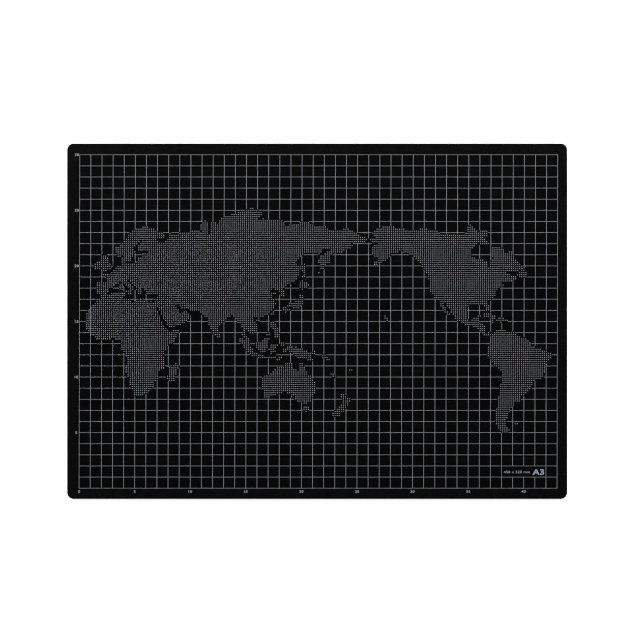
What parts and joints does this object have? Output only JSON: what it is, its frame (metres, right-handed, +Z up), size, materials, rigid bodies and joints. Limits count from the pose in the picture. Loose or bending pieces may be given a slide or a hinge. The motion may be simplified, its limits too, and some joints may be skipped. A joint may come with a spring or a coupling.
{
  "type": "cutting mat",
  "caption": "Flat laminated desk cutting mat with rounded corners and a printed centimetre grid, which shields the desk and heals after cuts.",
  "frame": {"origin": "middle of the underside, on the surface that the mat lies on", "axes": "+X along the long side, +Y towards the top of the print, +Z up through the printed face"},
  "size_m": [0.45, 0.32, 0.0031],
  "materials": {
    "cutting_sheet": "fine-grained matte black soft PVC",
    "stiffener": "rigid dark grey PVC, seen only at the cut edge",
    "core": "black PVC, seen only at the cut edge",
    "ink": "pale cool grey screen-printed ink"
  },
  "bodies": {
    "root": {"bottom_cutting_sheet": "cutting_sheet", "lower_stiffener_sheet": "stiffener", "centre_core": "core", "upper_stiffener_sheet": "stiffener", "top_cutting_sheet": "cutting_sheet", "lengthwise_grid_print": "ink", "crosswise_grid_print": "ink"}
  },
  "joints": []
}
